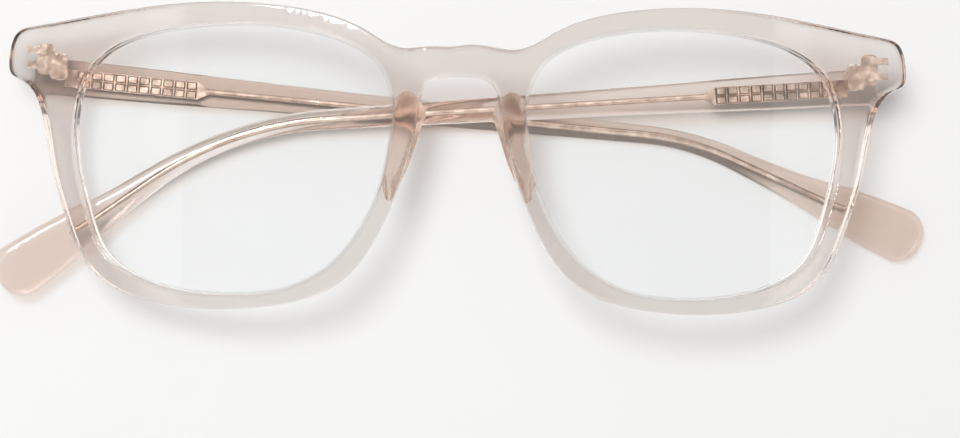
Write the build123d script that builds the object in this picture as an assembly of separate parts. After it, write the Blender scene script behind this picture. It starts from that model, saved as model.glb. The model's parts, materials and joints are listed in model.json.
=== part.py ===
from build123d import *
import math
import os

# Folding acetate eyeglasses, in millimetres, lying folded on their temples.
# Every piece is first made in the front's own frame: +X towards the wearer's left, +Y towards the
# brow, +Z out of the front's face, with the origin on the face at the middle of the bridge.
# The last step lays the folded glasses on the ground, with the right temple flat on z = 0.

# ---- Driving dimensions ----
FACE_RADIUS = 250.0  # the front wraps the face: a cylinder about an upright axis
FRONT_THICKNESS = 4.0
LENS_CENTRE_X = 35.3
LENS_CENTRE_Y = -1.9
LENS_HALF_WIDTH = 24.8
LENS_HALF_HEIGHT = 21.0
GROOVE_DEPTH = 0.6
GROOVE_FRONT = 1.4  # depth of the groove's front wall behind the face
LENS_THICKNESS = 1.1
LENS_CLEARANCE = 0.05
FRONT_RUNS = 16  # the outlines' splines are cut into runs short enough for exact areas
LENS_RUNS = 8
HINGE_SEAT_Z = -12.2  # flat milled on the back of each end piece
HINGE_SEAT_X = 62.9
SEAT_CUTTER = (20, 30, 10)
WALL_LEVELS = (-17, 3)  # levels, clear of the front, between which its walls are drawn
SHEET_HEIGHT = 80.0

HINGE_X = 62.2
HINGE_Y = 12.1
SEAT_TO_AXIS = 3.7
KNUCKLE_RADIUS = 1.1
FRONT_KNUCKLE_LENGTH = 1.05
TEMPLE_KNUCKLE_LENGTH = 1.3
KNUCKLE_GAP = 0.05
SCREW_RADIUS = 0.6
SCREW_HEAD_RADIUS = 0.95
SCREW_HEAD_HEIGHT = 0.45
SCREW_CLEARANCE = 0.03
SCREW_TIP = 0.2  # reaches past the lowest knuckle
SLOT_WIDTH = 0.25
SLOT_DEPTH = 0.2
PLATE_THICKNESS = 0.8
PLATE_MIDDLE = (64.3, 13.35)
PLATE_SIZE = (2.8, 4.9)
PLATE_CORNER = 1.0
FOOT_MIDDLE = (62.3, 12.1)
FOOT_SIZE = (2.8, 3.8)
FOOT_CORNER = 0.7
ANCHOR_LEVELS = (14.75, 12.35)
ANCHOR_X = 66.0
ANCHOR_SIZE = (2.8, 1.1, 1.2)
ANCHOR_RISE = 0.1
NECK_X = 64.6
NECK_SIZE = (0.9, 1.5, 1.0)
NECK_RISE = 0.2

TEMPLE_LENGTH = 141.5  # from the hinge axis to the tip, along the middle line
BUTT_LENGTH = 3.5  # the butt reaches this far past the axis
BUTT_MIDDLE_Y = 10.6
# Each temple has been bent by hand: degrees that it drops from the hinge, then the station, the
# radius and the degrees of its bend at the ear.
LEFT_SHAPE = (4.2, 83.0, 55.0, 31.0)
RIGHT_SHAPE = (4.8, 93.0, 45.0, 19.0)
INNER_FACE = -1.25  # the temple's inner face, from the hinge axis
BUTT_THICKNESS = 4.4
TAPER_END = 89.0  # the temple thins quickly up to here, and hardly beyond
TAPER_THICKNESS = 3.2
TIP_THICKNESS = 3.0
TIP_CORNER_RADIUS = 4.0
TEMPLE_CHAMFER = 0.4
SLAB_HALF_HEIGHT = 60.0
SLAB_EXTRA_LENGTH = 10.0
OUTLINE_MARGIN = 1.0
# Width of the temple at stations along its middle line: (station, width). The first station is
# past the butt's end, which is cut square there.
TEMPLE_WIDTHS = [(-5.0, 5.6), (8.0, 5.6), (30.0, 4.7), (62.0, 3.8), (88.0, 3.1), (99.0, 3.0),
                 (111.0, 3.7), (121.0, 5.2), (131.0, 7.9), (141.5, 9.0)]

CORE_LEVEL = -3.7  # middle of the core wire, from the hinge axis
CORE_RADIUS = 0.45
CORE_END = 128.0
HEAD_START = 2.4
HEAD_WIDTH = 2.75
HEAD_BASE = 0.6
STUD_HEIGHT = 0.35
STUD_PITCH = 1.88
STUD_COLUMNS = 10
HEAD_TAPER = 1.8
STUD_GAP = 0.2
STUD_TAPER = 32.0  # degrees that the studs' sides lean in
WIRE_OVERLAP = 0.4  # the wire starts this far inside its head
TEMPLE_FOOT_LENGTH = 1.8
TEMPLE_FOOT_MIDDLE = -1.5
ROOT_MIDDLE = (-0.2, -0.6)
ROOT_SIZE = (1.8, 2.4)

LEFT_FOLD = 1.6  # degrees that the left temple nests past square, into the hollow of the front
RIGHT_FOLD = 3.0  # degrees that the right temple stands short of square, under the left one
REST_TILT = 3.0  # the front leans by the right temple's angle, so that temple lies flat

# Outlines as seen square on, at the face. The front's right half runs from the top of the bridge
# along the brow, round the end piece and the rim, and up to the underside of the bridge.
BRIDGE_TOP = (0, 16.1)
BRIDGE_UNDERSIDE = (0, 11.2)
FRONT_HALF = [(5.2, 15.9), (8.9, 15.6), (11.8, 16.6), (15.2, 18.6), (19.5, 20.35), (26.0, 21.75),
              (35.5, 22.45), (45.5, 21.95), (56.5, 20.25), (67.0, 18.3), (69.4, 17.3),
              (70.0, 15.6), (70.4, 12.3), (69.9, 10.6), (68.4, 10.0), (66.7, 8.7), (65.4, 6.0),
              (64.4, 1.5), (63.2, -4.8), (61.1, -11.4), (58.4, -17.8), (54.1, -21.95),
              (47.5, -24.25), (37.8, -25.25), (28.0, -24.45), (20.8, -22.3), (16.5, -19.1),
              (13.5, -15.0), (11.1, -10.3), (9.4, -6.0), (7.9, -1.5), (6.8, 3.0), (6.2, 7.4),
              (5.4, 9.7), (3.5, 10.95)]
LENS_OUTLINE = [(10.45, 3.4), (10.8, 9.3), (13.2, 13.6), (18.2, 16.6), (25.0, 18.4),
                (35.5, 19.1), (45.0, 18.25), (52.6, 16.0), (57.6, 12.0), (59.9, 5.5),
                (59.8, -2.5), (57.9, -10.3), (55.2, -16.6), (50.0, -20.5), (43.0, -22.4),
                (35.5, -22.9), (27.0, -21.85), (20.0, -18.2), (15.0, -12.0), (12.0, -5.0)]
# The nose pad's outline where it meets the back of the rim, and at its rear face.
PAD_BASE = [(5.15, 4.6), (6.3, 8.2), (8.2, 9.2), (9.9, 8.0), (10.0, 3.0), (10.7, -2.0),
            (11.7, -6.6), (10.9, -8.4), (9.4, -6.4), (7.3, -1.6)]
PAD_REAR = [(7.9, 4.6), (8.5, 6.8), (9.3, 7.5), (10.2, 6.5), (10.4, 2.8), (10.9, -1.4),
            (11.5, -5.0), (11.1, -6.5), (10.3, -5.0), (8.9, -1.0)]
PAD_BASE_Z = -3.8
PAD_REAR_Z = -8.4
PAD_REAR_SHRINK = 0.7
PAD_ROUNDING = 1.0
PAD_RUNS = 5


# ---- The curved front ----
def spread(x, level):
    """Where a wall that starts at x on the curved face crosses the plane z = level."""
    return (FACE_RADIUS + level) * math.tan(math.asin(x / FACE_RADIUS))


def closed_outline(points, level, runs):
    """A smooth closed outline in the plane z = level, as equal runs of one spline."""
    whole = Spline(*points, periodic=True)
    parts = [whole.trim(run / runs, (run + 1) / runs) for run in range(runs)]
    return Pos(0, 0, level) * make_face(parts)


def front_outline(level):
    """The front's whole outline in the plane z = level."""
    right = [(spread(x, level), y) for x, y in FRONT_HALF]
    left = [(-x, y) for x, y in reversed(right)]
    return closed_outline([BRIDGE_TOP, *right, BRIDGE_UNDERSIDE, *left], level, FRONT_RUNS)


def lens_outline(level, growth):
    """One lens opening's outline, grown all round by growth, in the plane z = level."""
    placed = []
    for x, y in LENS_OUTLINE:
        wide = LENS_CENTRE_X + (x - LENS_CENTRE_X) * (1 + growth / LENS_HALF_WIDTH)
        high = LENS_CENTRE_Y + (y - LENS_CENTRE_Y) * (1 + growth / LENS_HALF_HEIGHT)
        placed.append((spread(wide, level), high))
    return closed_outline(placed, level, LENS_RUNS)


def radial_prism(outline):
    """A solid whose walls all point at the front's axis of curvature."""
    return loft([outline(level) for level in WALL_LEVELS], ruled=True)


def curved_sheet(front_depth, back_depth):
    """The space between two depths behind the curved face."""
    outer = Cylinder(FACE_RADIUS - front_depth, SHEET_HEIGHT)
    inner = Cylinder(FACE_RADIUS - back_depth, SHEET_HEIGHT)
    return Pos(0, 0, -FACE_RADIUS) * Rot(90, 0, 0) * (outer - inner)


def both_sides(solid):
    return solid + mirror(solid, about=Plane.YZ)


def make_lens():
    blank = radial_prism(lambda level: lens_outline(level, GROOVE_DEPTH - LENS_CLEARANCE))
    front = GROOVE_FRONT + LENS_CLEARANCE
    return blank & curved_sheet(front, front + LENS_THICKNESS)


def make_front():
    body = radial_prism(front_outline) & curved_sheet(0, FRONT_THICKNESS)
    opening = radial_prism(lambda level: lens_outline(level, 0))
    body -= both_sides(opening)
    wide, _, deep = SEAT_CUTTER
    seat = Pos(HINGE_SEAT_X + wide / 2, HINGE_Y, HINGE_SEAT_Z - deep / 2) * Box(*SEAT_CUTTER)
    body -= both_sides(seat)
    groove = radial_prism(lambda level: lens_outline(level, GROOVE_DEPTH))
    groove_back = GROOVE_FRONT + LENS_THICKNESS + 2 * LENS_CLEARANCE
    body -= both_sides(groove & curved_sheet(GROOVE_FRONT, groove_back))
    return body - both_sides(make_front_hinge())


# ---- Nose pads, glued behind the nasal rims ----
def pad_section(points, level, shrink):
    """A closed outline at z = level, drawn in towards its own middle by the factor shrink."""
    middle_x = sum(x for x, _ in points) / len(points)
    middle_y = sum(y for _, y in points) / len(points)
    placed = [(middle_x + (x - middle_x) * shrink, middle_y + (y - middle_y) * shrink)
              for x, y in points]
    return closed_outline(placed, level, PAD_RUNS)


def make_nose_pad():
    sections = [pad_section(PAD_REAR, PAD_REAR_Z, PAD_REAR_SHRINK),
                pad_section(PAD_REAR, PAD_REAR_Z + PAD_ROUNDING, 1),
                pad_section(PAD_BASE, PAD_BASE_Z, 1)]
    return loft(sections, ruled=True) - curved_sheet(0, FRONT_THICKNESS)


# ---- Hinges ----
def hinge_z():
    return HINGE_SEAT_Z - SEAT_TO_AXIS


def knuckle(middle_y, length, hole_radius):
    """A barrel about the hinge axis, centred on middle_y."""
    barrel = Cylinder(KNUCKLE_RADIUS, length) - Cylinder(hole_radius, length)
    return Pos(HINGE_X, middle_y, hinge_z()) * Rot(90, 0, 0) * barrel


def knuckle_offset():
    return (TEMPLE_KNUCKLE_LENGTH + FRONT_KNUCKLE_LENGTH) / 2 + KNUCKLE_GAP


def make_front_hinge():
    """Leaf with its plate sunk in the end piece, two toothed anchors and two knuckles."""
    plate_top = HINGE_SEAT_Z + PLATE_THICKNESS
    plate_shape = Pos(*PLATE_MIDDLE) * RectangleRounded(*PLATE_SIZE, PLATE_CORNER)
    foot_shape = Pos(*FOOT_MIDDLE) * RectangleRounded(*FOOT_SIZE, FOOT_CORNER)
    leaf = Pos(0, 0, HINGE_SEAT_Z) * extrude(plate_shape + foot_shape, PLATE_THICKNESS)
    for anchor_y in ANCHOR_LEVELS:
        leaf += Pos(ANCHOR_X, anchor_y, plate_top + ANCHOR_RISE) * Box(*ANCHOR_SIZE)
        leaf += Pos(NECK_X, anchor_y, plate_top + NECK_RISE) * Box(*NECK_SIZE)
    hole = SCREW_RADIUS + SCREW_CLEARANCE
    for side in (1, -1):
        middle_y = HINGE_Y + side * knuckle_offset()
        post = Box(2 * KNUCKLE_RADIUS, FRONT_KNUCKLE_LENGTH, SEAT_TO_AXIS)
        post = Pos(HINGE_X, middle_y, HINGE_SEAT_Z - SEAT_TO_AXIS / 2) * post
        bore = Pos(HINGE_X, middle_y, hinge_z()) * Rot(90, 0, 0) * Cylinder(hole, FRONT_KNUCKLE_LENGTH)
        leaf += (post - bore) + knuckle(middle_y, FRONT_KNUCKLE_LENGTH, hole)
    return leaf


def make_hinge_screw():
    """Slotted screw from the brow side down through all three knuckles."""
    stack_half = knuckle_offset() + FRONT_KNUCKLE_LENGTH / 2
    shank = Pos(0, 0, -SCREW_TIP / 2) * Cylinder(SCREW_RADIUS, 2 * stack_half + SCREW_TIP)
    head = Pos(0, 0, stack_half + SCREW_HEAD_HEIGHT / 2) * Cylinder(SCREW_HEAD_RADIUS, SCREW_HEAD_HEIGHT)
    slot = Box(SLOT_WIDTH, 3 * SCREW_HEAD_RADIUS, 2 * SLOT_DEPTH)
    slot = Pos(0, 0, stack_half + SCREW_HEAD_HEIGHT) * slot
    return Pos(HINGE_X, HINGE_Y, hinge_z()) * Rot(-90, 0, 0) * (shank + head - slot)


# ---- Temples, in a frame with its origin on the hinge axis and the temple running along -X ----
def middle_line(station, shape):
    """Point and downward slope, in radians, of the temple's middle line at a station."""
    drop, bend_start, bend_radius, bend = shape
    slope = math.radians(drop)
    bend_length = bend_radius * math.radians(bend)
    straight = min(station, bend_start)
    x = -straight * math.cos(slope)
    y = BUTT_MIDDLE_Y - HINGE_Y - straight * math.sin(slope)
    along_bend = min(max(station - bend_start, 0), bend_length)
    angle = slope + along_bend / bend_radius
    x -= bend_radius * (math.sin(angle) - math.sin(slope))
    y -= bend_radius * (math.cos(slope) - math.cos(angle))
    beyond = max(station - bend_start - bend_length, 0)
    return x - beyond * math.cos(angle), y - beyond * math.sin(angle), angle


def temple_outline(shape):
    edges = []
    for side in (1, -1):
        points = []
        for station, width in TEMPLE_WIDTHS:
            x, y, angle = middle_line(station, shape)
            points.append((x - side * math.sin(angle) * width / 2,
                           y + side * math.cos(angle) * width / 2))
        edges.append(points)
    upper, lower = edges
    face = make_face([Spline(*upper), Line(upper[-1], lower[-1]), Spline(*lower),
                      Line(lower[0], upper[0])])
    tip_corners = face.vertices().sort_by(Axis.X)[:2]
    return fillet(tip_corners, TIP_CORNER_RADIUS)


def make_temple_blank(shape):
    """The bar without its core: thick at the butt, tapering to the bend, with eased edges."""
    outer = INNER_FACE - BUTT_THICKNESS
    far = -(TEMPLE_LENGTH + SLAB_EXTRA_LENGTH)
    profile = Polyline((BUTT_LENGTH, INNER_FACE), (-TAPER_END, outer + TAPER_THICKNESS),
                       (far, outer + TIP_THICKNESS), (far, outer), (BUTT_LENGTH, outer), close=True)
    side_view = Plane.XZ * make_face(profile)
    slab = extrude(side_view, SLAB_HALF_HEIGHT, both=True)
    prism = extrude(temple_outline(shape), BUTT_THICKNESS + 2 * OUTLINE_MARGIN)
    prism = Pos(0, 0, outer - OUTLINE_MARGIN) * prism
    blank = prism & slab
    through_thickness = blank.edges().filter_by(Axis.Z)
    crease = blank.edges().filter_by_position(Axis.X, -TAPER_END - 0.01, -TAPER_END + 0.01)
    return chamfer(blank.edges() - through_thickness - crease, TEMPLE_CHAMFER)


def head_location(shape):
    """The knurled head's frame: along the sloping middle line, on the core's level."""
    return Pos(0, BUTT_MIDDLE_Y - HINGE_Y, CORE_LEVEL) * Rot(0, 0, shape[0])


def head_outline():
    tail = HEAD_START + STUD_COLUMNS * STUD_PITCH
    half = HEAD_WIDTH / 2
    corners = Polyline((-HEAD_START, half), (-HEAD_START, -half), (-tail, -half),
                       (-tail - HEAD_TAPER, -CORE_RADIUS), (-tail - HEAD_TAPER, CORE_RADIUS),
                       (-tail, half), close=True)
    return make_face(corners)


def core_wire_path(shape):
    _, bend_start, bend_radius, bend = shape
    head_tail = HEAD_START + STUD_COLUMNS * STUD_PITCH + HEAD_TAPER
    x, y, _ = middle_line(head_tail - WIRE_OVERLAP, shape)
    bend_x, bend_y, _ = middle_line(bend_start, shape)
    start = Line((x, y, CORE_LEVEL), (bend_x, bend_y, CORE_LEVEL))
    turn = JernArc(start @ 1, start % 1, bend_radius, bend)
    end_x, end_y, _ = middle_line(CORE_END, shape)
    return Wire([start, turn, Line(turn @ 1, (end_x, end_y, CORE_LEVEL))])


def make_wire(shape):
    path = core_wire_path(shape)
    section = Plane(origin=path @ 0, z_dir=path % 0) * Circle(CORE_RADIUS)
    return sweep(section, path)


def make_core_wire(shape):
    """Flat head with two rows of pyramid studs, then a round wire down the temple."""
    base = extrude(head_outline(), -HEAD_BASE)
    stud_shape = Rectangle(STUD_PITCH - STUD_GAP, HEAD_WIDTH / 2 - STUD_GAP / 2)
    stud = extrude(stud_shape, STUD_HEIGHT, taper=STUD_TAPER)
    for column in range(STUD_COLUMNS):
        along = HEAD_START + (column + 0.5) * STUD_PITCH
        for side in (1, -1):
            base += Pos(-along, side * HEAD_WIDTH / 4, 0) * stud
    return head_location(shape) * base + make_wire(shape)


def core_pocket(shape):
    """The space that the core fills in the temple: its head's envelope and its wire."""
    envelope = Pos(0, 0, -HEAD_BASE) * extrude(head_outline(), HEAD_BASE + STUD_HEIGHT)
    return head_location(shape) * envelope + make_wire(shape)


def make_temple_hinge(shape):
    """Leaf with one knuckle, a post down into the temple and a foot against the core's head."""
    foot_top = CORE_LEVEL + STUD_HEIGHT
    foot_height = HEAD_BASE + STUD_HEIGHT
    foot_shape = Pos(TEMPLE_FOOT_MIDDLE, 0) * Rectangle(TEMPLE_FOOT_LENGTH, HEAD_WIDTH)
    foot = head_location(shape) * Pos(0, 0, -HEAD_BASE) * extrude(foot_shape, foot_height)
    post_depth = -foot_top
    post = Pos(0, 0, -post_depth / 2) * Box(2 * KNUCKLE_RADIUS, TEMPLE_KNUCKLE_LENGTH, post_depth)
    root = Pos(*ROOT_MIDDLE, foot_top - foot_height / 2) * Box(*ROOT_SIZE, foot_height)
    hole = SCREW_RADIUS + SCREW_CLEARANCE
    barrel = Rot(90, 0, 0) * Cylinder(KNUCKLE_RADIUS, TEMPLE_KNUCKLE_LENGTH)
    bore = Rot(90, 0, 0) * Cylinder(hole, 2 * TEMPLE_KNUCKLE_LENGTH)
    return foot + root + post + barrel - bore


def make_temple(shape):
    return make_temple_blank(shape) - core_pocket(shape) - make_temple_hinge(shape)


def place_temple(solid, side, fold):
    """Hang a temple piece on its hinge: side 1 is the wearer's left, -1 the right."""
    if side < 0:
        solid = mirror(solid, about=Plane.YZ)
    return Pos(side * HINGE_X, HINGE_Y, hinge_z()) * Rot(0, fold, 0) * solid


# ---- Assembly ----
def make_nodes():
    pad, lens, leaf, screw = make_nose_pad(), make_lens(), make_front_hinge(), make_hinge_screw()
    nodes = {"front_frame": make_front()}
    for name, side, fold, shape in (("left", 1, LEFT_FOLD, LEFT_SHAPE),
                                    ("right", -1, RIGHT_FOLD, RIGHT_SHAPE)):
        front_pieces = {"nose_pad": pad, "lens": lens, "front_hinge": leaf, "hinge_screw": screw}
        for piece, solid in front_pieces.items():
            nodes[f"{name}_{piece}"] = solid if side > 0 else mirror(solid, about=Plane.YZ)
        temple_pieces = {"temple": make_temple(shape), "core_wire": make_core_wire(shape),
                         "temple_hinge": make_temple_hinge(shape)}
        for piece, solid in temple_pieces.items():
            nodes[f"{name}_{piece}"] = place_temple(solid, side, fold)
    return nodes


def rest_location(nodes):
    """Lean the front so that the right temple lies flat, then stand the lot on z = 0."""
    lean = Rot(0, -REST_TILT, 0)
    box = Compound([(lean * solid).solid() for solid in nodes.values()]).bounding_box()
    return Pos(-box.center().X, -box.center().Y, -box.min.Z) * lean


os.makedirs("parts", exist_ok=True)
all_nodes = make_nodes()
rest = rest_location(all_nodes)
for node_name, node_solid in all_nodes.items():
    export_step(rest * node_solid, f"parts/{node_name}.step")
for hinge_side in (1, -1):
    axis_point = rest * Pos(hinge_side * HINGE_X, HINGE_Y, hinge_z())
    print("hinge axis point", hinge_side, axis_point.position)
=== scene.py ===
"""The looks of the folded acetate eyeglasses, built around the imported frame. Metres, +Z up."""
import json
import math

import bmesh
import bpy
import numpy as np
from mathutils import Matrix, Vector
from mathutils.geometry import delaunay_2d_cdt


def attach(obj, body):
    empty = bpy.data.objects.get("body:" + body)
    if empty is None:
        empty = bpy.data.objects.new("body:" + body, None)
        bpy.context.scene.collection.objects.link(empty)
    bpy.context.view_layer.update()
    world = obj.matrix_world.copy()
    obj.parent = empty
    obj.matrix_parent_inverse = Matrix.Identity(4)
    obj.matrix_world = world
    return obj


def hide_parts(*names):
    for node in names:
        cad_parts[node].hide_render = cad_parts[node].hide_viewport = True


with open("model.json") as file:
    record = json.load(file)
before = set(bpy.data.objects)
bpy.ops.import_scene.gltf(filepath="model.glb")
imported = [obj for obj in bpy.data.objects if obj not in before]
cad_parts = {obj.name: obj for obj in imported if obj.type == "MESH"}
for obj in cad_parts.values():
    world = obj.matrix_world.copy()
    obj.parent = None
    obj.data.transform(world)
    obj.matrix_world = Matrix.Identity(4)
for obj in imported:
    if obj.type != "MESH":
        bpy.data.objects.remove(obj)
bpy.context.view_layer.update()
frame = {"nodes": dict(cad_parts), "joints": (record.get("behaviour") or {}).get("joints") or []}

MM = 0.001

# ---- Driving dimensions: front ----
FACE_RADIUS = 250 * MM
FRONT_THICKNESS = 4 * MM
SEAT_DEPTH = 12.2 * MM  # the end pieces' flat hinge seats, behind the middle of the face
HINGE_UP = 12.1 * MM  # hinge axes, from the middle of the bridge on the face
HINGE_BACK = 15.9 * MM
FACE_EDGE = 0.35 * MM  # rounding of the edges round the polished face
BACK_EDGE = 0.3 * MM  # and of those behind, which grow at the bridge and the end pieces
BACK_EDGE_EXTRA = 0.5 * MM
# Where that growth starts and is complete, sideways and in height.
END_PIECE_SIDEWAYS = (28 * MM, 55 * MM)
END_PIECE_HEIGHT = (-16 * MM, 0)
BRIDGE_SIDEWAYS = (14 * MM, 8 * MM)
BRIDGE_HEIGHT = (5 * MM, 9 * MM)
OPENING_EDGE = 0.3 * MM
GROOVE_FRONT = 1.4 * MM
GROOVE_BACK = 2.6 * MM
GROOVE_DEPTH = 0.3 * MM  # as far as it shows round the lens

# ---- Nose pads ----
PAD_GAP = 0.02 * MM
PAD_RINGS = 16
PAD_POINTS = 120
PAD_CROWN = 1.6  # how quickly the pad's side rises, 1 being a straight slope

# ---- Temples ----
TEMPLE_LENGTH = 141.5 * MM
BUTT_LENGTH = 3.5 * MM
BUTT_MIDDLE = -1.5 * MM  # middle of the butt, below the hinge axis
TAPER_END = 89 * MM
INNER_FACE = -1.25 * MM
BUTT_THICKNESS = 4.4 * MM
TAPER_THICKNESS = 3.2 * MM
TIP_THICKNESS = 3.0 * MM
BUTT_CORNER = 0.8 * MM
TIP_CORNER = 4.1 * MM
# Rounding of a temple's edges at stations along its middle line, in millimetres.
TEMPLE_EDGE_STATIONS = [-5, 20, 75, 105, 125, 140]
TEMPLE_EDGES = [0.6, 0.6, 1.35, 1.35, 1.0, 1.0]
# Width of a temple at stations along its middle line, in millimetres.
TEMPLE_STATIONS = [-5, 8, 30, 62, 88, 99, 111, 121, 131, 141.5]
TEMPLE_WIDTHS = [5.6, 5.6, 4.7, 3.8, 3.1, 3.0, 3.7, 5.2, 7.9, 9.0]
# Side and turn about Y of each folded temple, in degrees.
TEMPLES = {"left": (1, -1.4), "right": (-1, 0)}
# Drop from the hinge in degrees, then the station, radius and degrees of the bend at the ear.
TEMPLE_SHAPES = {"left": (4.2, 83 * MM, 55 * MM, 31), "right": (4.8, 93 * MM, 45 * MM, 19)}

# ---- Fineness of the meshes ----
OUTLINE_STEP = 0.5 * MM
PAD_OUTLINE_STEP = 0.1 * MM
GRID_STEP = 1.0 * MM
ROUNDING_STEPS = 5
CORNER_STEPS = 14
SHARP_ANGLE = math.radians(40)
JOIN_DISTANCE = 0.0001 * MM
SURFACE_TOLERANCE = 0.003 * MM
METAL_EDGE = 0.22 * MM
METAL_EDGE_SEGMENTS = 3
WELD_DISTANCE = 0.002 * MM

# ---- Looks ----
ACETATE_TINT = (0.67, 0.3, 0.1)  # what deep acetate lets through
FRONT_DENSITY = 68
TEMPLE_DENSITY = 80
PAD_DENSITY = 66
FRONT_SHADOW = (0.87, 0.88, 0.89)
TEMPLE_SHADOW = (0.94, 0.92, 0.9)
FRONT_COLOUR = (0.87, 0.9, 0.91)
# Painted shade: the rounded walls are tinted a deeper orange-brown, in place of the darker,
# warmer look that light's long path through the acetate gives the edges.
EDGE_PAINTED_SHADE = (0.86, 0.55, 0.38)
PAD_COLOUR = (0.97, 0.92, 0.88)
EDGE_IOR = 1.2
PAD_IOR = 1.12
FACE_ROUGHNESS = (0.02, 0.09)
EDGE_ROUGHNESS = (0.03, 0.1)
PAD_ROUGHNESS = (0.18, 0.3)
LENS_CLEAR = (0.985, 0.99, 0.99)
LENS_GLOSS = (0.9, 0.95, 0.96)
LENS_GLOSS_SHARE = (0.015, 0.4)  # seen square on, and at a glancing angle
FLOOR_COLOUR = (0.86, 0.86, 0.855)
# Bright and dark colour, least and most roughness, scale of the marks and their depth.
METALS = {
    "hinge_metal": ((0.78, 0.65, 0.56), (0.42, 0.32, 0.26), (0.05, 0.16), 600, 0.15 * MM),
    "core_metal": ((0.56, 0.47, 0.41), (0.36, 0.28, 0.23), (0.15, 0.28), 500, 0.02 * MM),
    "screw_steel": ((0.86, 0.8, 0.75), (0.72, 0.66, 0.6), (0.12, 0.25), 500, 0.01 * MM),
}
METAL_PARTS = {
    "front_hinge": "hinge_metal",
    "temple_hinge": "hinge_metal",
    "hinge_screw": "screw_steel",
    "core_wire": "core_metal",
}
EASED_PARTS = ("front_hinge", "temple_hinge", "hinge_screw")

# ---- Studio and camera ----
TENT_COLOUR = (1, 0.99, 0.98)
TENT_STRENGTH = 0.33
# Place, size and power of each light.
KEY = ((-0.22, 0.24, 1.0), 0.24, 8.8)
OVERHEAD_CARD = ((0, 0, 1.3), 1.5, 4.2)
SIDE_CARDS = [((x, y, 0.3), 0.7, 2.2) for x, y in ((-0.5, 0), (0.5, 0), (0, 0.5), (0, -0.5))]
FLOOR_SIZE = 2.0
# From the middle of the bridge on the face.
CAMERA_PLACE = Vector((-15, 0, 650)) * MM
CAMERA_AIM = Vector((3.33, -10.65, 0)) * MM
CAMERA_ROLL = math.radians(0.744)
CAMERA_LENS = 157.9


# ---- The front's own frame: origin on the face at the bridge, +X left, +Y brow, +Z out ----
hinges = {joint["name"]: Vector(joint["pos_m"]) for joint in frame["joints"]}
across = (hinges["left_hinge"] - hinges["right_hinge"]).normalized()
upward = Vector((0, 1, 0))
outward = across.cross(upward)
face_middle = (hinges["left_hinge"] + hinges["right_hinge"]) / 2
face_middle += HINGE_BACK * outward - HINGE_UP * upward
front_turn = Matrix((across, upward, outward)).transposed().to_4x4()
front_to_row = Matrix.Translation(face_middle) @ front_turn


# ---- Outlines ----
def smooth_closed(points, step):
    """Evenly spaced points on the smooth closed curve through the given ones."""
    points = np.asarray(points)
    after = np.roll(points, -1, axis=0)
    run = np.linalg.norm(after - points, axis=1)
    run_before = np.roll(run, 1)
    count = len(points)
    slopes = (after - points) / run[:, None]
    matrix = np.zeros((count, count))
    index = np.arange(count)
    matrix[index, index] = 2 * (run + run_before)
    matrix[index, (index + 1) % count] = run
    matrix[index, (index - 1) % count] = run_before
    bend = np.linalg.solve(matrix, 6 * (slopes - np.roll(slopes, 1, axis=0)))
    bend_after = np.roll(bend, -1, axis=0)
    starts = np.concatenate([[0], np.cumsum(run)])
    along = np.linspace(0, starts[-1], int(starts[-1] / step), endpoint=False)
    span = np.searchsorted(starts, along, side="right") - 1
    t = (along - starts[span])[:, None]
    h = run[span][:, None]
    rest = h - t
    return (bend[span] * rest ** 3 + bend_after[span] * t ** 3) / (6 * h) \
        + (points[span] / h - bend[span] * h / 6) * rest \
        + (after[span] / h - bend_after[span] * h / 6) * t


def area(loop):
    """Positive for a loop that runs counter-clockwise."""
    x, y = loop[:, 0], loop[:, 1]
    return 0.5 * np.sum(x * np.roll(y, -1) - y * np.roll(x, -1))


def boundary_loops(node, local_to_row, is_inside):
    """Closed loops round the part of a CAD mesh whose points pass a test, in local x and y."""
    mesh = bmesh.new()
    mesh.from_mesh(frame["nodes"][node].data)
    mesh.transform(local_to_row.inverted())
    bmesh.ops.remove_doubles(mesh, verts=mesh.verts, dist=JOIN_DISTANCE)
    region = {face for face in mesh.faces if all(is_inside(vert.co) for vert in face.verts)}
    rim = [edge for edge in mesh.edges if sum(face in region for face in edge.link_faces) == 1]
    neighbours = {}
    for edge in rim:
        for vert in edge.verts:
            neighbours.setdefault(vert, []).append(edge.other_vert(vert))
    loops = []
    while neighbours:
        vert = next(iter(neighbours))
        loop = []
        while vert in neighbours:
            loop.append(vert.co[:2])
            nearby = [other for other in neighbours.pop(vert) if other in neighbours]
            vert = nearby[0] if nearby else None
        loops.append(np.array(loop))
    mesh.free()
    return loops


def points_inside(points, loops):
    """Which points lie inside the first loop and outside the others."""
    crossings = np.zeros(len(points), int)
    for loop in loops:
        for (x0, y0), (x1, y1) in zip(loop, np.roll(loop, -1, axis=0)):
            spans = (y0 > points[:, 1]) != (y1 > points[:, 1])
            at = x0 + (points[:, 1] - y0) * (x1 - x0) / (y1 - y0 if y1 != y0 else 1)
            crossings += spans & (points[:, 0] < at)
    return crossings % 2 == 1


def inset(loop, distance):
    """The loop moved to its left, where the material is."""
    along = np.roll(loop, -1, axis=0) - np.roll(loop, 1, axis=0)
    along /= np.linalg.norm(along, axis=1)[:, None]
    leftward = np.stack([-along[:, 1], along[:, 0]], axis=1)
    return loop + leftward * np.reshape(distance, (-1, 1))


# ---- Mesh building ----
def rounded_wall(face_edge, back_edge, middle=()):
    """A wall's rings from front to back: inset, share of the thickness, distance past it."""
    turns = [math.radians(90) * step / ROUNDING_STEPS for step in range(ROUNDING_STEPS + 1)]
    front = [(face_edge * (1 - math.sin(a)), 0, face_edge * (1 - math.cos(a))) for a in turns]
    back = [(back_edge * (1 - math.sin(a)), 1, -back_edge * (1 - math.cos(a)))
            for a in reversed(turns)]
    return front + list(middle) + back


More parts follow.
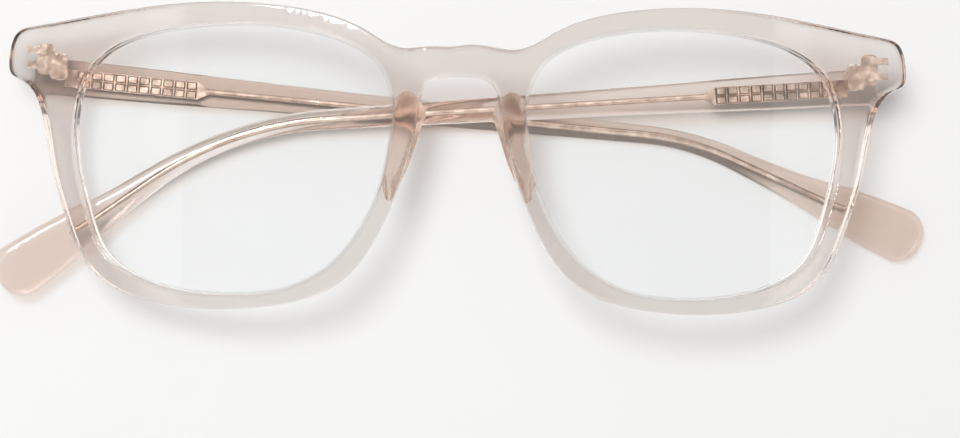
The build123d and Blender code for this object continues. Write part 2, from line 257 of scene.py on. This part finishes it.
def make_slab(name, loops, walls, place, to_row):
    """A closed slab with one wall for each of its loops, outer loop first.

    The walls take the second material, and place() puts a point of the slab in its own frame.
    """
    mesh = bmesh.new()
    walls_rings = []
    for loop, wall in zip(loops, walls):
        rings = []
        for amount, share, past in wall:
            past = np.broadcast_to(past, len(loop))
            rings.append([mesh.verts.new(to_row @ place(x, y, share, more))
                          for (x, y), more in zip(inset(loop, amount), past)])
        walls_rings.append(rings)
        for ring, ring_behind in zip(rings, rings[1:]):
            for here in range(len(ring)):
                there = (here + 1) % len(ring)
                wall_face = mesh.faces.new(
                    (ring[here], ring_behind[here], ring_behind[there], ring[there]))
                wall_face.material_index = 1
    for end, share in ((0, 0), (-1, 1)):
        rim_loops = [inset(loop, wall[end][0]) for loop, wall in zip(loops, walls)]
        rim_verts = [vert for rings in walls_rings for vert in rings[end]]
        add_cap(mesh, rim_loops, rim_verts, lambda x, y: to_row @ place(x, y, share, 0))
    bmesh.ops.recalc_face_normals(mesh, faces=mesh.faces)
    return make_object(name, mesh)


def add_cap(mesh, loops, rim_verts, place):
    """Fill the space between loops with even triangles."""
    rim = np.concatenate(loops)
    low, high = rim.min(axis=0), rim.max(axis=0)
    columns = np.arange(low[0], high[0], GRID_STEP)
    rows = np.arange(low[1], high[1], GRID_STEP)
    grid = np.array([(x + (row % 2) * GRID_STEP / 2, y)
                     for row, y in enumerate(rows) for x in columns])
    kept_loops = [inset(loop, GRID_STEP / 2) for loop in loops]
    grid = grid[points_inside(grid, kept_loops)]
    points = np.concatenate([rim, grid])
    edges = []
    start = 0
    for loop in loops:
        edges += [(start + i, start + (i + 1) % len(loop)) for i in range(len(loop))]
        start += len(loop)
    flat, _, triangles, origins, _, _ = delaunay_2d_cdt(
        [Vector(point) for point in points], edges, [], 1, 1e-9)
    triangles = np.array(triangles)
    flat = np.array([tuple(point) for point in flat])
    middles = flat[triangles].mean(axis=1)
    verts = list(rim_verts) + [mesh.verts.new(place(x, y)) for x, y in grid]
    for triangle in triangles[points_inside(middles, loops)]:
        mesh.faces.new([verts[origins[corner][0]] for corner in triangle])


def make_object(name, mesh):
    """A shown object from a finished mesh, smooth but for its sharp edges."""
    data = bpy.data.meshes.new(name)
    mesh.to_mesh(data)
    mesh.free()
    data.shade_smooth()
    data.set_sharp_from_angle(angle=SHARP_ANGLE)
    piece = bpy.data.objects.new(name, data)
    bpy.context.scene.collection.objects.link(piece)
    weighted = piece.modifiers.new("even shading", "WEIGHTED_NORMAL")
    weighted.keep_sharp = True
    return piece


# ---- Front ----
def is_on_face(point):
    return abs(math.hypot(point.x, point.z + FACE_RADIUS) - FACE_RADIUS) < SURFACE_TOLERANCE


def on_front(x, y, share, past):
    """A point past a share of the thickness behind the curved face, in the front's frame."""
    cosine = math.sqrt(1 - (x / FACE_RADIUS) ** 2)
    to_seat = FACE_RADIUS - (FACE_RADIUS - SEAT_DEPTH) / cosine
    thickness = min(FRONT_THICKNESS, to_seat)
    radius = FACE_RADIUS - share * thickness - past * thickness / FRONT_THICKNESS
    return Vector((radius * x / FACE_RADIUS, y, radius * cosine - FACE_RADIUS))


def smooth_step(value, start, end):
    """From 0 at the start to 1 at the end, without a kink."""
    share = np.clip((value - start) / (end - start), 0, 1)
    return share * share * (3 - 2 * share)


def back_edge_of_front(loop):
    """The rear edges are rounder round the end pieces and the bridge than along the rims."""
    sideways, height = np.abs(loop[:, 0]), loop[:, 1]
    at_ends = smooth_step(sideways, *END_PIECE_SIDEWAYS) * smooth_step(height, *END_PIECE_HEIGHT)
    at_bridge = smooth_step(sideways, *BRIDGE_SIDEWAYS) * smooth_step(height, *BRIDGE_HEIGHT)
    return BACK_EDGE + BACK_EDGE_EXTRA * np.maximum(at_ends, at_bridge)


def make_front():
    """The acetate front: the CAD outlines smoothed, with rounded edges and lens grooves."""
    loops = boundary_loops("front_frame", front_to_row, is_on_face)
    loops.sort(key=lambda loop: -abs(area(loop)))
    loops = [loop if (area(loop) > 0) == (rank == 0) else loop[::-1]
             for rank, loop in enumerate(loops)]
    loops = [smooth_closed(loop, OUTLINE_STEP) for loop in loops]
    groove = [(0, 0, GROOVE_FRONT), (-GROOVE_DEPTH, 0, GROOVE_FRONT),
              (-GROOVE_DEPTH, 0, GROOVE_BACK), (0, 0, GROOVE_BACK)]
    walls = [rounded_wall(FACE_EDGE, back_edge_of_front(loops[0]))]
    walls += [rounded_wall(OPENING_EDGE, OPENING_EDGE, groove) for _ in loops[1:]]
    piece = make_slab("acetate_front", loops, walls, on_front, front_to_row)
    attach(piece, "front")
    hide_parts("front_frame")
    return piece


# ---- Nose pads, glued behind the rims ----
def is_on_back(point):
    radius = FACE_RADIUS - FRONT_THICKNESS
    return abs(math.hypot(point.x, point.z + FACE_RADIUS) - radius) < SURFACE_TOLERANCE


def evenly(loop, count):
    """A loop as a number of even points, counter-clockwise from its highest one."""
    fine = smooth_closed(loop if area(loop) > 0 else loop[::-1], PAD_OUTLINE_STEP)
    fine = np.roll(fine, -int(np.argmax(fine[:, 1])), axis=0)
    return fine[np.linspace(0, len(fine), count, endpoint=False).astype(int)]


def make_nose_pad(name):
    """A nose pad that swells smoothly from its glued base to its rear face."""
    node = f"{name}_nose_pad"
    row_to_front = front_to_row.inverted()
    rear_level = min((row_to_front @ vert.co).z for vert in frame["nodes"][node].data.vertices)

    def is_on_rear(point):
        return point.z < rear_level + SURFACE_TOLERANCE

    back_radius = FACE_RADIUS - FRONT_THICKNESS - PAD_GAP
    base = evenly(boundary_loops(node, front_to_row, is_on_back)[0], PAD_POINTS)
    rear = evenly(boundary_loops(node, front_to_row, is_on_rear)[0], PAD_POINTS)
    base_level = np.sqrt(back_radius ** 2 - base[:, 0] ** 2) - FACE_RADIUS
    mesh = bmesh.new()
    rings = []
    for step in range(PAD_RINGS + 1):
        share = step / PAD_RINGS
        level = base_level + (rear_level - base_level) * (1 - (1 - share) ** PAD_CROWN)
        flat = base + (rear - base) * share
        rings.append([mesh.verts.new(front_to_row @ Vector((x, y, z)))
                      for (x, y), z in zip(flat, level)])
    for ring, ring_behind in zip(rings, rings[1:]):
        for here in range(PAD_POINTS):
            there = (here + 1) % PAD_POINTS
            mesh.faces.new((ring[here], ring_behind[here], ring_behind[there], ring[there]))

    def on_base(x, y):
        return front_to_row @ Vector((x, y, math.sqrt(back_radius ** 2 - x ** 2) - FACE_RADIUS))

    add_cap(mesh, [base], rings[0], on_base)
    add_cap(mesh, [rear], rings[-1], lambda x, y: front_to_row @ Vector((x, y, rear_level)))
    bmesh.ops.recalc_face_normals(mesh, faces=mesh.faces)
    piece = make_object(f"acetate_{name}_nose_pad", mesh)
    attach(piece, "front")
    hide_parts(node)
    return piece


# ---- Temples, from the hinge axis along -X ----
def middle_line(station, shape):
    """Point and downward slope of a temple's middle line at a station."""
    drop, bend_start, bend_radius, bend = shape
    slope = math.radians(drop)
    turn = math.radians(bend)
    straight = min(station, bend_start)
    x = -straight * math.cos(slope)
    y = BUTT_MIDDLE - straight * math.sin(slope)
    angle = slope + min(max(station - bend_start, 0) / bend_radius, turn)
    x -= bend_radius * (math.sin(angle) - math.sin(slope))
    y -= bend_radius * (math.cos(slope) - math.cos(angle))
    beyond = max(station - bend_start - bend_radius * turn, 0)
    return x - beyond * math.cos(angle), y - beyond * math.sin(angle), angle


def natural_curve(stations, values, at):
    """A smooth open curve through values at stations."""
    stations, values = np.array(stations, float), np.array(values, float)
    run = np.diff(stations)
    slopes = np.diff(values) / run
    count = len(stations)
    matrix = np.eye(count)
    right = np.zeros(count)
    for i in range(1, count - 1):
        matrix[i, i - 1:i + 2] = run[i - 1], 2 * (run[i - 1] + run[i]), run[i]
        right[i] = 6 * (slopes[i] - slopes[i - 1])
    bend = np.linalg.solve(matrix, right)
    span = np.clip(np.searchsorted(stations, at, side="right") - 1, 0, count - 2)
    h, t = run[span], at - stations[span]
    rest = h - t
    return (bend[span] * rest ** 3 + bend[span + 1] * t ** 3) / (6 * h) \
        + (values[span] / h - bend[span] * h / 6) * rest \
        + (values[span + 1] / h - bend[span + 1] * h / 6) * t


def corner_cut(distance, radius):
    """How much a rounded corner takes off each side of a bar, at a distance from its end."""
    inside = np.clip(1 - distance / radius, 0, 1)
    return radius * (1 - np.sqrt(1 - inside ** 2))


def temple_loop(shape):
    """A temple's outline seen on its flat side, with rounded corners at the butt and the tip."""
    turns = np.radians(np.linspace(0, 90, CORNER_STEPS))
    butt = -BUTT_LENGTH + BUTT_CORNER * (1 - np.cos(turns))
    body = np.arange(BUTT_CORNER - BUTT_LENGTH, TEMPLE_LENGTH - TIP_CORNER, OUTLINE_STEP)[1:]
    tip = TEMPLE_LENGTH - TIP_CORNER * (1 - np.sin(turns))
    stations = np.concatenate([butt, body, tip])
    widths = natural_curve(TEMPLE_STATIONS, TEMPLE_WIDTHS, stations / MM) * MM
    widths -= 2 * corner_cut(stations + BUTT_LENGTH, BUTT_CORNER)
    widths -= 2 * corner_cut(TEMPLE_LENGTH - stations, TIP_CORNER)
    lines = [middle_line(station, shape) for station in stations]
    upper, lower = ([(x - side * math.sin(a) * w / 2, y + side * math.cos(a) * w / 2)
                     for (x, y, a), w in zip(lines, widths)] for side in (1, -1))
    ends = [np.linspace(one, other, max(int(math.dist(one, other) / OUTLINE_STEP), 2),
                        endpoint=False)[1:]
            for one, other in ((upper[-1], lower[-1]), (lower[0], upper[0]))]
    return np.concatenate([upper, ends[0], lower[::-1], ends[1]])


def on_temple(x, y, share, past):
    """A point past a share of the thickness behind the inner face, in the hinge's frame."""
    thickness = np.interp(-x, [-BUTT_LENGTH, TAPER_END, TEMPLE_LENGTH],
                          [BUTT_THICKNESS, TAPER_THICKNESS, TIP_THICKNESS])
    outer_face = INNER_FACE - BUTT_THICKNESS
    return Vector((x, y, outer_face + thickness * (1 - share) - past))


def temple_to_row(name):
    """From a temple's own frame, at its hinge axis, to its folded place."""
    side, turn = TEMPLES[name]
    folded = Matrix.Rotation(math.radians(turn), 4, "Y") @ Matrix.Diagonal((side, 1, 1, 1))
    return Matrix.Translation(hinges[f"{name}_hinge"]) @ folded


def make_temple(name):
    """A folded acetate temple from its butt to its paddle tip."""
    loop = temple_loop(TEMPLE_SHAPES[name])
    edge = np.interp(-loop[:, 0] / MM, TEMPLE_EDGE_STATIONS, TEMPLE_EDGES) * MM
    wall = rounded_wall(edge, edge)
    piece = make_slab(f"acetate_{name}_temple", [loop], [wall], on_temple, temple_to_row(name))
    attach(piece, f"{name}_temple_arm")
    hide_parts(f"{name}_temple")
    return piece


# ---- Materials ----
def new_material(name):
    """An empty material, its nodes, its links and its output."""
    material = bpy.data.materials.new(name)
    material.use_nodes = True
    nodes = material.node_tree.nodes
    nodes.clear()
    output = nodes.new("ShaderNodeOutputMaterial")
    return material, nodes, material.node_tree.links, output


def fine_noise(nodes, links, scale, low, high):
    """Procedural noise in object space, spread between two values."""
    place = nodes.new("ShaderNodeTexCoord")
    noise = nodes.new("ShaderNodeTexNoise")
    noise.inputs["Scale"].default_value = scale
    noise.inputs["Detail"].default_value = 4
    spread = nodes.new("ShaderNodeMapRange")
    spread.inputs["From Min"].default_value = 0.3
    spread.inputs["From Max"].default_value = 0.7
    spread.inputs["To Min"].default_value = low
    spread.inputs["To Max"].default_value = high
    links.new(place.outputs["Object"], noise.inputs["Vector"])
    links.new(noise.outputs["Fac"], spread.inputs["Value"])
    return noise.outputs["Fac"], spread.outputs["Result"]


def clear_material(name, roughness, shadow, absorption, colour=(1, 1, 1), ior=1.46):
    """Clear acetate. Shadow and diffuse rays pass straight through, tinted by shadow."""
    material, nodes, links, output = new_material(name)
    glass = nodes.new("ShaderNodeBsdfPrincipled")
    glass.inputs["Base Color"].default_value = (*colour, 1)
    glass.inputs["Transmission Weight"].default_value = 1
    glass.inputs["IOR"].default_value = ior
    noise, gloss = fine_noise(nodes, links, 90, roughness[0], roughness[1])
    links.new(gloss, glass.inputs["Roughness"])
    bump = nodes.new("ShaderNodeBump")
    bump.inputs["Strength"].default_value = 0.05
    bump.inputs["Distance"].default_value = 0.0002
    links.new(noise, bump.inputs["Height"])
    links.new(bump.outputs["Normal"], glass.inputs["Normal"])
    passing = nodes.new("ShaderNodeBsdfTransparent")
    passing.inputs["Color"].default_value = (*shadow, 1)
    path = nodes.new("ShaderNodeLightPath")
    either = nodes.new("ShaderNodeMath")
    either.operation = "MAXIMUM"
    links.new(path.outputs["Is Shadow Ray"], either.inputs[0])
    links.new(path.outputs["Is Diffuse Ray"], either.inputs[1])
    mix = nodes.new("ShaderNodeMixShader")
    links.new(either.outputs[0], mix.inputs["Fac"])
    links.new(glass.outputs["BSDF"], mix.inputs[1])
    links.new(passing.outputs["BSDF"], mix.inputs[2])
    links.new(mix.outputs["Shader"], output.inputs["Surface"])
    volume = nodes.new("ShaderNodeVolumeAbsorption")
    volume.inputs["Color"].default_value = (*ACETATE_TINT, 1)
    volume.inputs["Density"].default_value = absorption
    links.new(volume.outputs["Volume"], output.inputs["Volume"])
    return material


def lens_material():
    """A thin clear lens: a faint gloss on its outer sides, strongest at a glancing angle."""
    material, nodes, links, output = new_material("clear_lens")
    clear = nodes.new("ShaderNodeBsdfTransparent")
    clear.inputs["Color"].default_value = (*LENS_CLEAR, 1)
    gloss = nodes.new("ShaderNodeBsdfPrincipled")
    gloss.inputs["Base Color"].default_value = (*LENS_GLOSS, 1)
    gloss.inputs["Metallic"].default_value = 1
    _, rough = fine_noise(nodes, links, 120, 0.01, 0.03)
    links.new(rough, gloss.inputs["Roughness"])
    facing = nodes.new("ShaderNodeLayerWeight")
    facing.inputs["Blend"].default_value = 0.25
    side = nodes.new("ShaderNodeNewGeometry")
    share = nodes.new("ShaderNodeMapRange")
    share.inputs["To Min"].default_value = LENS_GLOSS_SHARE[0]
    share.inputs["To Max"].default_value = LENS_GLOSS_SHARE[1]
    outside = nodes.new("ShaderNodeMapRange")
    outside.inputs["To Max"].default_value = 0
    links.new(facing.outputs["Facing"], share.inputs["Value"])
    links.new(side.outputs["Backfacing"], outside.inputs["Value"])
    links.new(share.outputs["Result"], outside.inputs["To Min"])
    mix = nodes.new("ShaderNodeMixShader")
    links.new(outside.outputs["Result"], mix.inputs["Fac"])
    links.new(clear.outputs["BSDF"], mix.inputs[1])
    links.new(gloss.outputs["BSDF"], mix.inputs[2])
    links.new(mix.outputs["Shader"], output.inputs["Surface"])
    return material


def metal_material(name, colour, dark_colour, roughness, scale, dent):
    """Plated metal with fine tarnish and small dents."""
    material, nodes, links, output = new_material(name)
    metal = nodes.new("ShaderNodeBsdfPrincipled")
    metal.inputs["Metallic"].default_value = 1
    noise, gloss = fine_noise(nodes, links, scale, roughness[0], roughness[1])
    links.new(gloss, metal.inputs["Roughness"])
    ramp = nodes.new("ShaderNodeValToRGB")
    ramp.color_ramp.elements[0].position = 0.3
    ramp.color_ramp.elements[0].color = (*dark_colour, 1)
    ramp.color_ramp.elements[1].position = 0.7
    ramp.color_ramp.elements[1].color = (*colour, 1)
    links.new(noise, ramp.inputs["Fac"])
    links.new(ramp.outputs["Color"], metal.inputs["Base Color"])
    bump = nodes.new("ShaderNodeBump")
    bump.inputs["Strength"].default_value = 0.5
    bump.inputs["Distance"].default_value = dent
    links.new(noise, bump.inputs["Height"])
    links.new(bump.outputs["Normal"], metal.inputs["Normal"])
    links.new(metal.outputs["BSDF"], output.inputs["Surface"])
    return material


def paint(obj, *materials):
    """Give an object these materials, in place of any it has."""
    obj.data.materials.clear()
    for material in materials:
        obj.data.materials.append(material)


def ease_edges(obj):
    """Tumbled metal: small round edges that catch the light."""
    weld = obj.modifiers.new("joined corners", "WELD")
    weld.merge_threshold = WELD_DISTANCE
    bevel = obj.modifiers.new("eased edges", "BEVEL")
    bevel.width = METAL_EDGE
    bevel.segments = METAL_EDGE_SEGMENTS
    bevel.angle_limit = SHARP_ANGLE
    bevel.harden_normals = True


# ---- Studio ----
def make_floor(material):
    mesh = bmesh.new()
    bmesh.ops.create_grid(mesh, x_segments=2, y_segments=2, size=FLOOR_SIZE)
    floor = make_object("floor", mesh)
    paint(floor, material)


def floor_material():
    material, nodes, links, output = new_material("pale_floor")
    paper = nodes.new("ShaderNodeBsdfPrincipled")
    paper.inputs["Base Color"].default_value = (*FLOOR_COLOUR, 1)
    noise, rough = fine_noise(nodes, links, 40, 0.75, 0.95)
    links.new(rough, paper.inputs["Roughness"])
    paper.inputs["Specular IOR Level"].default_value = 0.2
    links.new(paper.outputs["BSDF"], output.inputs["Surface"])
    return material


def make_area_light(name, place, size, power, lights_floor):
    """A square light aimed at the object. A card doesn't light the floor, only the gloss."""
    data = bpy.data.lights.new(name, "AREA")
    data.size = size
    data.energy = power
    light = bpy.data.objects.new(name, data)
    light.location = place
    light.rotation_euler = (-Vector(place)).to_track_quat("-Z", "Y").to_euler()
    light.visible_camera = False
    light.visible_diffuse = lights_floor
    light.visible_transmission = not lights_floor
    bpy.context.scene.collection.objects.link(light)


def make_studio():
    """A pale tent with a soft key from the upper left and bright cards for the gloss."""
    world = bpy.data.worlds.new("studio")
    bpy.context.scene.world = world
    world.use_nodes = True
    tent = world.node_tree.nodes["Background"]
    tent.inputs["Color"].default_value = (*TENT_COLOUR, 1)
    tent.inputs["Strength"].default_value = TENT_STRENGTH
    make_area_light("key", *KEY, True)
    make_area_light("overhead_card", *OVERHEAD_CARD, False)
    for number, card in enumerate(SIDE_CARDS):
        make_area_light(f"side_card_{number}", *card, False)
    bpy.context.scene.view_settings.view_transform = "Standard"


def make_camera():
    """A long lens almost straight over the front, aimed a little below the bridge."""
    data = bpy.data.cameras.new("camera")
    data.sensor_width = 36
    data.lens = CAMERA_LENS
    data.clip_start = 0.01
    camera = bpy.data.objects.new("camera", data)
    back = (CAMERA_PLACE - CAMERA_AIM).normalized()
    right = Vector((0, 1, 0)).cross(back).normalized()
    turn = Matrix((right, back.cross(right), back)).transposed().to_4x4()
    roll = Matrix.Rotation(CAMERA_ROLL, 4, "Z")
    camera.matrix_world = front_to_row @ Matrix.Translation(CAMERA_PLACE) @ turn @ roll
    bpy.context.scene.collection.objects.link(camera)
    bpy.context.scene.camera = camera


# ---- The object ----
acetate = clear_material(
    "clear_acetate", FACE_ROUGHNESS, FRONT_SHADOW, FRONT_DENSITY, FRONT_COLOUR)
# The edge materials paint shade on the rounded walls: the same acetate with a deeper
# orange-brown tint and a lower IOR, in place of the light's long paths through the edges.
acetate_edge_shade = clear_material(
    "acetate_edge_shade", EDGE_ROUGHNESS, FRONT_SHADOW, FRONT_DENSITY, EDGE_PAINTED_SHADE, EDGE_IOR)
temple_acetate = clear_material("temple_acetate", FACE_ROUGHNESS, TEMPLE_SHADOW, TEMPLE_DENSITY)
temple_edge_shade = clear_material(
    "temple_edge_shade", EDGE_ROUGHNESS, TEMPLE_SHADOW, TEMPLE_DENSITY, EDGE_PAINTED_SHADE, EDGE_IOR)
pad_acetate = clear_material(
    "pad_acetate", PAD_ROUGHNESS, FRONT_SHADOW, PAD_DENSITY, PAD_COLOUR, PAD_IOR)
lens_glass = lens_material()
metals = {name: metal_material(name, *look) for name, look in METALS.items()}

paint(make_front(), acetate, acetate_edge_shade)
for temple_name in TEMPLES:
    paint(make_temple(temple_name), temple_acetate, temple_edge_shade)
    paint(make_nose_pad(temple_name), pad_acetate)
    paint(frame["nodes"][f"{temple_name}_lens"], lens_glass)
    for part_name, metal_name in METAL_PARTS.items():
        paint(frame["nodes"][f"{temple_name}_{part_name}"], metals[metal_name])
    for part_name in EASED_PARTS:
        ease_edges(frame["nodes"][f"{temple_name}_{part_name}"])

make_floor(floor_material())
make_studio()
make_camera()
